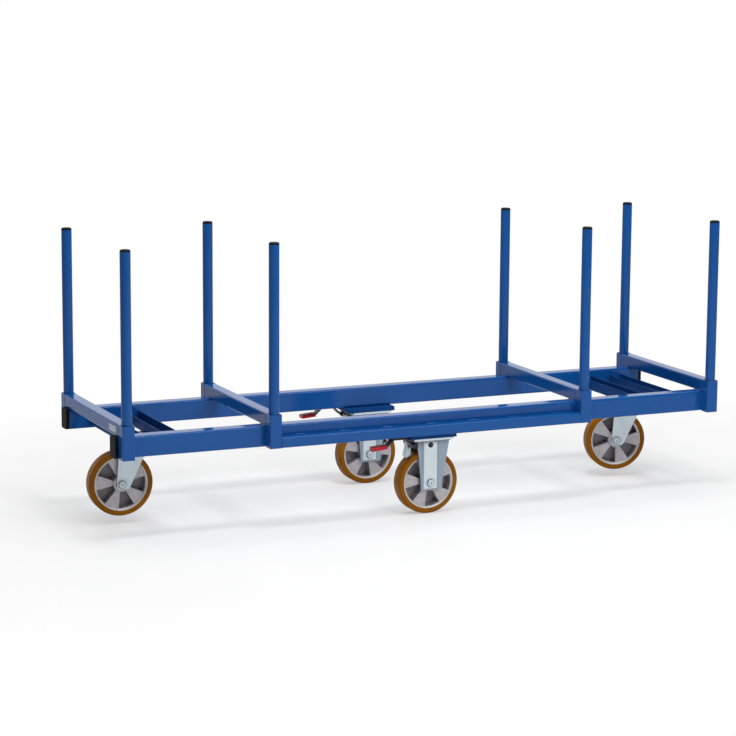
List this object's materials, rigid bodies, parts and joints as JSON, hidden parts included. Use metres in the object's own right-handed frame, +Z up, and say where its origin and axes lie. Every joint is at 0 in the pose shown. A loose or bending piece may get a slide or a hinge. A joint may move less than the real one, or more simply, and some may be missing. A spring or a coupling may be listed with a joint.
{
  "type": "long material cart",
  "caption": "Long low cart for bars and pipes: tube frame with cross beams, lift-out round posts, swivel castors at the ends and braked fixed castors amidships.",
  "frame": {"origin": "on the floor under the middle of the cart", "axes": "+X along the rails to the right end, +Y across to the far side, +Z up"},
  "size_m": [2.5561, 0.748, 1.096],
  "materials": {
    "blue_paint": "semi-gloss powder coat",
    "zinc_steel": "bright zinc plating",
    "cast_aluminium": "as-cast, turned edges",
    "polyurethane": "satin moulded",
    "black_plastic": "matte moulded",
    "red_plastic": "moulded, ribbed"
  },
  "bodies": {
    "frame": {"far_axle": "zinc_steel", "far_brake_bracket": "zinc_steel", "far_fixed_fork": "zinc_steel", "far_outer_rail": "blue_paint", "far_packing_plate": "blue_paint", "far_rail_caps": "black_plastic", "far_side_rail": "blue_paint", "left_back_channel": "blue_paint", "left_end_beam": "blue_paint", "left_end_sockets": "blue_paint", "left_front_channel": "blue_paint", "left_inner_beam": "blue_paint", "left_inner_sockets": "blue_paint", "left_swivel_base": "zinc_steel", "near_axle": "zinc_steel", "near_brake_bracket": "zinc_steel", "near_fixed_fork": "zinc_steel", "near_outer_rail": "blue_paint", "near_packing_plate": "blue_paint", "near_rail_caps": "black_plastic", "near_side_rail": "blue_paint", "right_back_channel": "blue_paint", "right_end_beam": "blue_paint", "right_end_sockets": "blue_paint", "right_front_channel": "blue_paint", "right_inner_beam": "blue_paint", "right_inner_sockets": "blue_paint", "right_swivel_base": "zinc_steel"},
    "near_left_end_post": {"near_left_end_post": "blue_paint", "near_left_end_post_cap": "black_plastic"},
    "near_left_inner_post": {"near_left_inner_post": "blue_paint", "near_left_inner_post_cap": "black_plastic"},
    "near_right_inner_post": {"near_right_inner_post": "blue_paint", "near_right_inner_post_cap": "black_plastic"},
    "near_right_end_post": {"near_right_end_post": "blue_paint", "near_right_end_post_cap": "black_plastic"},
    "far_left_end_post": {"far_left_end_post": "blue_paint", "far_left_end_post_cap": "black_plastic"},
    "far_left_inner_post": {"far_left_inner_post": "blue_paint", "far_left_inner_post_cap": "black_plastic"},
    "far_right_inner_post": {"far_right_inner_post": "blue_paint", "far_right_inner_post_cap": "black_plastic"},
    "far_right_end_post": {"far_right_end_post": "blue_paint", "far_right_end_post_cap": "black_plastic"},
    "left_swivel": {"left_swivel_fork": "zinc_steel", "left_axle": "zinc_steel"},
    "left_wheel": {"left_tyre": "polyurethane", "left_rim": "cast_aluminium"},
    "right_swivel": {"right_swivel_fork": "zinc_steel", "right_axle": "zinc_steel"},
    "right_wheel": {"right_tyre": "polyurethane", "right_rim": "cast_aluminium"},
    "near_wheel": {"near_tyre": "polyurethane", "near_rim": "cast_aluminium"},
    "near_brake": {"near_brake_lever": "zinc_steel", "near_brake_pedal": "red_plastic"},
    "far_wheel": {"far_tyre": "polyurethane", "far_rim": "cast_aluminium"},
    "far_brake": {"far_brake_lever": "zinc_steel", "far_brake_pedal": "red_plastic"}
  },
  "joints": [
    {"name": "near_left_end_post_lift", "type": "slide", "parent": "frame", "child": "near_left_end_post", "axis": [0, 0, 1], "range_m": [0, 0.15]},
    {"name": "near_left_inner_post_lift", "type": "slide", "parent": "frame", "child": "near_left_inner_post", "axis": [0, 0, 1], "range_m": [0, 0.15]},
    {"name": "near_right_inner_post_lift", "type": "slide", "parent": "frame", "child": "near_right_inner_post", "axis": [0, 0, 1], "range_m": [0, 0.15]},
    {"name": "near_right_end_post_lift", "type": "slide", "parent": "frame", "child": "near_right_end_post", "axis": [0, 0, 1], "range_m": [0, 0.15]},
    {"name": "far_left_end_post_lift", "type": "slide", "parent": "frame", "child": "far_left_end_post", "axis": [0, 0, 1], "range_m": [0, 0.15]},
    {"name": "far_left_inner_post_lift", "type": "slide", "parent": "frame", "child": "far_left_inner_post", "axis": [0, 0, 1], "range_m": [0, 0.15]},
    {"name": "far_right_inner_post_lift", "type": "slide", "parent": "frame", "child": "far_right_inner_post", "axis": [0, 0, 1], "range_m": [0, 0.15]},
    {"name": "far_right_end_post_lift", "type": "slide", "parent": "frame", "child": "far_right_end_post", "axis": [0, 0, 1], "range_m": [0, 0.15]},
    {"name": "left_swivel_turn", "type": "hinge", "parent": "frame", "child": "left_swivel", "pos_m": [-1.08, 0, 0.305], "axis": [0, 0, 1], "continuous": true},
    {"name": "left_wheel_spin", "type": "hinge", "parent": "left_swivel", "child": "left_wheel", "pos_m": [-1.15187, 0.00439, 0.155], "axis": [0.061, 0.9981, 0], "continuous": true},
    {"name": "right_swivel_turn", "type": "hinge", "parent": "frame", "child": "right_swivel", "pos_m": [1.08, 0, 0.305], "axis": [0, 0, 1], "continuous": true},
    {"name": "right_wheel_spin", "type": "hinge", "parent": "right_swivel", "child": "right_wheel", "pos_m": [1.00985, 0.0162, 0.155], "axis": [0.225, 0.9744, 0], "continuous": true},
    {"name": "near_wheel_spin", "type": "hinge", "parent": "frame", "child": "near_wheel", "pos_m": [0, -0.288, 0.125], "axis": [0, 1, 0], "continuous": true},
    {"name": "near_brake_press", "type": "hinge", "parent": "frame", "child": "near_brake", "pos_m": [-0.076, -0.288, 0.28], "axis": [0, -1, 0], "range_deg": [0, 10]},
    {"name": "far_wheel_spin", "type": "hinge", "parent": "frame", "child": "far_wheel", "pos_m": [0, 0.288, 0.125], "axis": [0, 1, 0], "continuous": true},
    {"name": "far_brake_press", "type": "hinge", "parent": "frame", "child": "far_brake", "pos_m": [-0.076, 0.288, 0.28], "axis": [0, -1, 0], "range_deg": [0, 10]}
  ]
}
